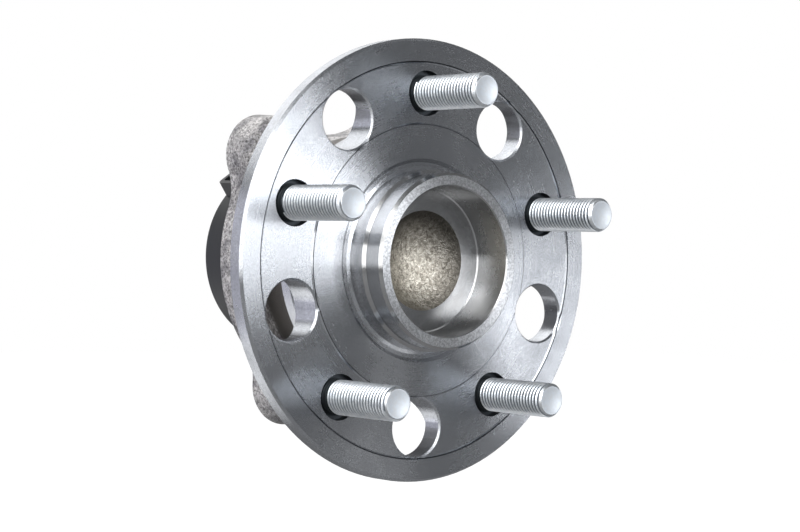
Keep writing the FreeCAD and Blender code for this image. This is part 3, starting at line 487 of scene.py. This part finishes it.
def ring_finish(place):
    """Slot of the finish of a face of the outer ring."""
    if math.hypot(place.x, place.z) < RING_BORE_RADIUS:
        return GROUND
    for degrees in EAR_DEGREES:
        from_hole = distance_from(place, EAR_CIRCLE, math.radians(degrees))
        if from_hole < EAR_HOLE_RADIUS:
            return MACHINED
        if from_hole < EAR_CHAMFER_RADIUS and place.y > EAR_CHAMFER_START:
            return MACHINED
    return MACHINED if place.y > RING_BACK_FACE or place.y < RING_LAND_END else FORGED


def stud_finish(place, sizes, tip):
    """Slot of the finish of a face of a stud.

    The inner half of the thread's depth, which the crests hide from the camera, is painted shade.
    """
    across = math.hypot(place.x, place.z)
    # The neck inside the counterbore is painted shade.
    if NECK_SHADE_FROM < place.y < STUD_HEAD_START - sizes.head_edge:
        return SHADED_NECK
    if place.y < tip + 0.4 * MM and across < THREAD_RADIUS - sizes.end_chamfer:
        return DISH
    if tip + sizes.end_chamfer < place.y < NECK_SHADE_FROM and across < THREAD_RADIUS - sizes.depth / 2:
        return THREAD_ROOT
    return PLATED


def spun_profile(bm, points, steps):
    """Turns (radius, place) points about the Y axis into a closed surface."""
    verts = [bm.verts.new((radius, place, 0.0)) for radius, place in points]
    edges = [bm.edges.new(pair) for pair in zip(verts, verts[1:])]
    bmesh.ops.spin(bm, geom=verts + edges, cent=(0, 0, 0), axis=AXIS, angle=math.tau, steps=steps,
                   use_merge=True, use_duplicate=False)
    bmesh.ops.remove_doubles(bm, verts=bm.verts, dist=MERGE_DISTANCE)


def threaded_stud(sizes, tip, head_radius, head_end):
    """A stud about the Y axis: a real thread with a chamfered end, a neck and a head."""
    pitch, edge = sizes.pitch, sizes.head_edge
    crest, flank, root = THREAD_RADIUS, THREAD_RADIUS - sizes.depth / 2, THREAD_RADIUS - sizes.depth
    # One pitch of the thread, as radii and shares of the pitch.
    profile = [(root, 0.0), (root, 0.14), (flank, 0.29), (crest, 0.44),
               (crest, 0.60), (flank, 0.75), (root, 0.90), (root, 1.0)]
    # The thread starts before the tip and runs past its end, and both are then cut off.
    start = tip - pitch * 1.3
    turns = math.ceil((sizes.thread_end - tip) / pitch) + 2
    bm = bmesh.new()
    verts = [bm.verts.new((radius, start + share * pitch, 0.0)) for radius, share in profile]
    edges = [bm.edges.new(pair) for pair in zip(verts, verts[1:])]
    bmesh.ops.spin(bm, geom=verts + edges, cent=(0, 0, 0), axis=AXIS,
                   dvec=AXIS * (pitch / sizes.turn_steps), angle=math.tau * turns,
                   steps=sizes.turn_steps * turns, use_merge=False, use_duplicate=False)
    bmesh.ops.remove_doubles(bm, verts=bm.verts, dist=MERGE_DISTANCE)
    for vert in bm.verts:
        limit = crest - sizes.end_chamfer + max(vert.co.y - tip, 0.0)
        across = math.hypot(vert.co.x, vert.co.z)
        if across > limit:
            vert.co.x *= limit / across
            vert.co.z *= limit / across
    for place, normal in ((tip, -AXIS), (sizes.thread_end, AXIS)):
        bmesh.ops.bisect_plane(bm, geom=bm.verts[:] + bm.edges[:] + bm.faces[:],
                               dist=CUT_DISTANCE, plane_co=AXIS * place, plane_no=normal,
                               clear_outer=True)
    bmesh.ops.holes_fill(bm, edges=[side for side in bm.edges if side.is_boundary], sides=0)
    spun_profile(bm, [(0.0, NECK_START), (NECK_RADIUS, NECK_START), (NECK_RADIUS, STUD_HEAD_START),
                      (head_radius - edge, STUD_HEAD_START), (head_radius, STUD_HEAD_START + edge),
                      (head_radius, head_end - edge), (head_radius - edge, head_end),
                      (0.0, head_end)], sizes.head_steps)
    bmesh.ops.recalc_face_normals(bm, faces=bm.faces)
    # The end is the largest face at the tip. One inset leaves its edge and the next its dish.
    end = max((face for face in bm.faces if face.calc_center_median().y < tip + 0.1 * MM),
              key=lambda face: face.calc_area())
    bmesh.ops.inset_individual(bm, faces=[end], thickness=sizes.dish_edge)
    bmesh.ops.inset_individual(bm, faces=[end], thickness=sizes.dish_depth * 2,
                               depth=-sizes.dish_depth)
    for face in bm.faces:
        face.material_index = stud_finish(face.calc_center_median(), sizes, tip)
    return bm


# Operators: one for each group of pieces


class OBJECT_OT_finish_hub(bpy.types.Operator):
    """Finish the hub's turned flange, its pilots and its forged bowl"""

    bl_idname = "object.finish_hub"
    bl_label = "Finish Hub"

    def execute(self, context):
        colours = context.scene.hub_colours
        finishes = [turned_steel("turned_forged_steel", colours.turned, steps=FLANGE_STEPS),
                    bowl_skin("forged_bowl_skin"),
                    # The counterbores are dark with oil and painted shade.
                    ground_steel("counterbore_oil_and_painted_shade", "#484C50", 0.45),
                    turned_steel("torn_end_face", "#E6E7E9", 0.38, 0.8, 1.1),
                    turned_steel("fine_turned_steel", "#B8B7B5", 0.20, 0.85, 0.2),
                    # The bore's wall is a darker copy of the fine turned steel, painted shade.
                    turned_steel("bore_wall_painted_shade_steel", "#88867F", 0.25, 0.85, 0.2)]
        bm = mesh_copy("wheel_hub")
        for face in bm.faces:
            face.material_index = hub_finish(face.calc_center_median(), face.normal)
        new_piece("turned_hub", bm, finishes, "hub", "turned_steel", "wheel_hub", sharp=12)
        return {"FINISHED"}


class OBJECT_OT_make_studs(bpy.types.Operator):
    """Make the five wheel studs with real threads"""

    bl_idname = "object.make_studs"
    bl_label = "Make Studs"

    def execute(self, context):
        sizes = context.scene.hub_studs
        # The neck in the counterbore and the thread roots are darker, painted shade.
        finishes = [zinc_plate("zinc_plated_steel", context.scene.hub_colours.zinc),
                    ground_steel("painted_shade_neck", "#33373A", 0.5),
                    zinc_plate("dull_zinc_end", "#CBCED1", 0.6),
                    ground_steel("painted_shade_thread_root", "#858B92", 0.5)]
        low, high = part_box("wheel_stud_1")
        circle = (low.z + high.z) / 2
        head_radius = (high.x - low.x) / 2
        stud = threaded_stud(sizes, low.y, head_radius, high.y)
        bmesh.ops.transform(stud, matrix=Matrix.Translation((0, 0, circle)), verts=stud.verts)
        turn = Matrix.Rotation(-math.tau / STUD_COUNT, 3, AXIS)
        for number in range(STUD_COUNT):
            new_piece(f"threaded_stud_{number + 1}", stud.copy(), finishes, "hub", "zinc_steel",
                      f"wheel_stud_{number + 1}")
            bmesh.ops.rotate(stud, cent=(0, 0, 0), matrix=turn, verts=stud.verts)
        stud.free()
        return {"FINISHED"}


class OBJECT_OT_finish_outer_ring(bpy.types.Operator):
    """Finish the forged outer ring and its ears"""

    bl_idname = "object.finish_outer_ring"
    bl_label = "Finish Outer Ring"

    def execute(self, context):
        finishes = [forged_steel("forged_shot_blasted_steel", context.scene.hub_colours.forged),
                    turned_steel("machined_ring_steel", "#C6C8CC", 0.28, 0.85),
                    ground_steel("ground_raceway_steel", "#BFC1C5", 0.22)]
        bm = mesh_copy("outer_ring", merged=False)
        for face in bm.faces:
            face.material_index = ring_finish(face.calc_center_median())
        new_piece("machined_outer_ring", bm, finishes, "outer_ring_group", "forged_steel",
                  "outer_ring", sharp=None)
        return {"FINISHED"}


class OBJECT_OT_finish_cap(bpy.types.Operator):
    """Finish the sensor cap, its connector and what they hold"""

    bl_idname = "object.finish_cap"
    bl_label = "Finish Cap"

    def execute(self, context):
        colours = context.scene.hub_colours
        dress(["sensor_cap", "speed_sensor"],
              moulding("glass_filled_polyamide", colours.moulding, 0.48))
        dress(["cap_seal_ring", "outboard_seal_lip", "encoder_ring"],
              moulding("nitrile_rubber", colours.rubber, 0.55, RUBBER_GRAIN))
        dress(["connector_pin_1", "connector_pin_2"],
              ground_steel("tinned_brass", colours.brass, 0.25))
        return {"FINISHED"}


class OBJECT_OT_finish_bearing(bpy.types.Operator):
    """Finish the balls, cages, rings and pressed pieces inside"""

    bl_idname = "object.finish_bearing"
    bl_label = "Finish Bearing"

    def execute(self, context):
        colours = context.scene.hub_colours
        balls = [name for name in NODES if "_ball_" in name]
        cages = [name for name in NODES if name.endswith("_cage")]
        dress(balls, ground_steel("polished_bearing_steel", "#D5D7DA", 0.10))
        dress(["inner_ring"], ground_steel("ground_bearing_steel", "#C4C6CA", 0.25))
        dress(["encoder_carrier", "outboard_seal_case"],
              ground_steel("pressed_steel_sheet", "#A8AAAE", 0.38))
        dress(cages, moulding("moulded_polyamide", colours.cage, 0.45))
        return {"FINISHED"}


class SCENE_OT_set_studio(bpy.types.Operator):
    """Set up the camera, the lights, the backdrop and the floor"""

    bl_idname = "scene.set_studio"
    bl_label = "Set Studio"

    def execute(self, context):
        scene = context.scene
        sizes = scene.hub_studio
        camera = bpy.data.objects.new("camera", bpy.data.cameras.new("camera"))
        camera.data.lens = sizes.lens
        camera.data.sensor_width = 36.0
        right = CAMERA_RIGHT.normalized()
        back = -CAMERA_VIEW.normalized()
        up = back.cross(right).normalized()
        right = up.cross(back)
        turn = Matrix((right, up, back)).transposed().to_4x4()
        camera.matrix_world = Matrix.Translation(sizes.camera_place) @ turn
        scene.collection.objects.link(camera)
        scene.camera = camera
        scene.view_settings.view_transform = "Standard"

        world = bpy.data.worlds.new("studio")
        world.use_nodes = True
        scene.world = world
        tree = world.node_tree
        tree.nodes.clear()
        seen = add_node(tree, "ShaderNodeLightPath").outputs["Is Camera Ray"]
        white = add_node(tree, "ShaderNodeBackground", {"Color": (1, 1, 1, 1), "Strength": 1.0})
        grey = add_node(tree, "ShaderNodeBackground",
                        {"Color": ROOM_SHADE, "Strength": ROOM_STRENGTH})
        mixed = add_node(tree, "ShaderNodeMixShader",
                         {0: seen, 1: grey.outputs[0], 2: white.outputs[0]})
        add_node(tree, "ShaderNodeOutputWorld", {"Surface": mixed.outputs[0]})

        for name, azimuth, elevation, distance, wide, high, radiance, tint in LIGHTS:
            light = bpy.data.lights.new(name, "AREA")
            light.shape = "RECTANGLE"
            light.size = 2 * distance * math.tan(math.radians(wide / 2))
            light.size_y = 2 * distance * math.tan(math.radians(high / 2))
            light.energy = radiance * math.pi * light.size * light.size_y
            light.color = hex_colour(tint)[:3]
            lamp = bpy.data.objects.new(name, light)
            turn_a, turn_e = math.radians(azimuth), math.radians(elevation)
            towards = Vector((math.sin(turn_a) * math.cos(turn_e),
                              -math.cos(turn_a) * math.cos(turn_e), math.sin(turn_e)))
            lamp.location = towards * distance
            lamp.rotation_euler = towards.to_track_quat("Z", "Y").to_euler()
            lamp.visible_camera = False
            scene.collection.objects.link(lamp)

        bm = bmesh.new()
        bmesh.ops.create_grid(bm, x_segments=1, y_segments=1, size=FLOOR_HALF_SIDE,
                              matrix=Matrix.Translation((0, 0, -sizes.floor_drop)))
        data = bpy.data.meshes.new("floor")
        bm.to_mesh(data)
        bm.free()
        material, tree, shader = new_material("white_paper")
        shader.inputs["Base Color"].default_value = FLOOR_SHADE
        shader.inputs["Roughness"].default_value = 0.9
        shader.inputs["Emission Color"].default_value = (1.0, 1.0, 1.0, 1.0)
        tree.links.new(add_node(tree, "ShaderNodeLightPath").outputs["Is Camera Ray"],
                       shader.inputs["Emission Strength"])
        data.materials.append(material)
        floor = bpy.data.objects.new("floor", data)
        scene.collection.objects.link(floor)
        return {"FINISHED"}


class VIEW3D_PT_hub_bearing(bpy.types.Panel):
    """The steps that dress the wheel hub bearing"""

    bl_label = "Wheel Hub Bearing"
    bl_space_type = "VIEW_3D"
    bl_region_type = "UI"
    bl_category = "Hub Bearing"

    def draw(self, context):
        for operator in STEPS:
            self.layout.operator(operator.bl_idname)


STEPS = (OBJECT_OT_finish_hub, OBJECT_OT_make_studs, OBJECT_OT_finish_outer_ring,
         OBJECT_OT_finish_cap, OBJECT_OT_finish_bearing, SCENE_OT_set_studio)
GROUPS = {"hub_studs": StudSizes, "hub_colours": FinishColours, "hub_studio": StudioSizes}


def register():
    for group in GROUPS.values():
        bpy.utils.register_class(group)
    for name, group in GROUPS.items():
        setattr(bpy.types.Scene, name, PointerProperty(type=group))
    for operator in STEPS:
        bpy.utils.register_class(operator)
    bpy.utils.register_class(VIEW3D_PT_hub_bearing)


def unregister():
    bpy.utils.unregister_class(VIEW3D_PT_hub_bearing)
    for operator in reversed(STEPS):
        bpy.utils.unregister_class(operator)
    for name, group in GROUPS.items():
        delattr(bpy.types.Scene, name)
        bpy.utils.unregister_class(group)


def main():
    register()
    bpy.ops.object.finish_hub()
    bpy.ops.object.make_studs()
    bpy.ops.object.finish_outer_ring()
    bpy.ops.object.finish_cap()
    bpy.ops.object.finish_bearing()
    bpy.ops.scene.set_studio()


if __name__ == "__main__":
    main()
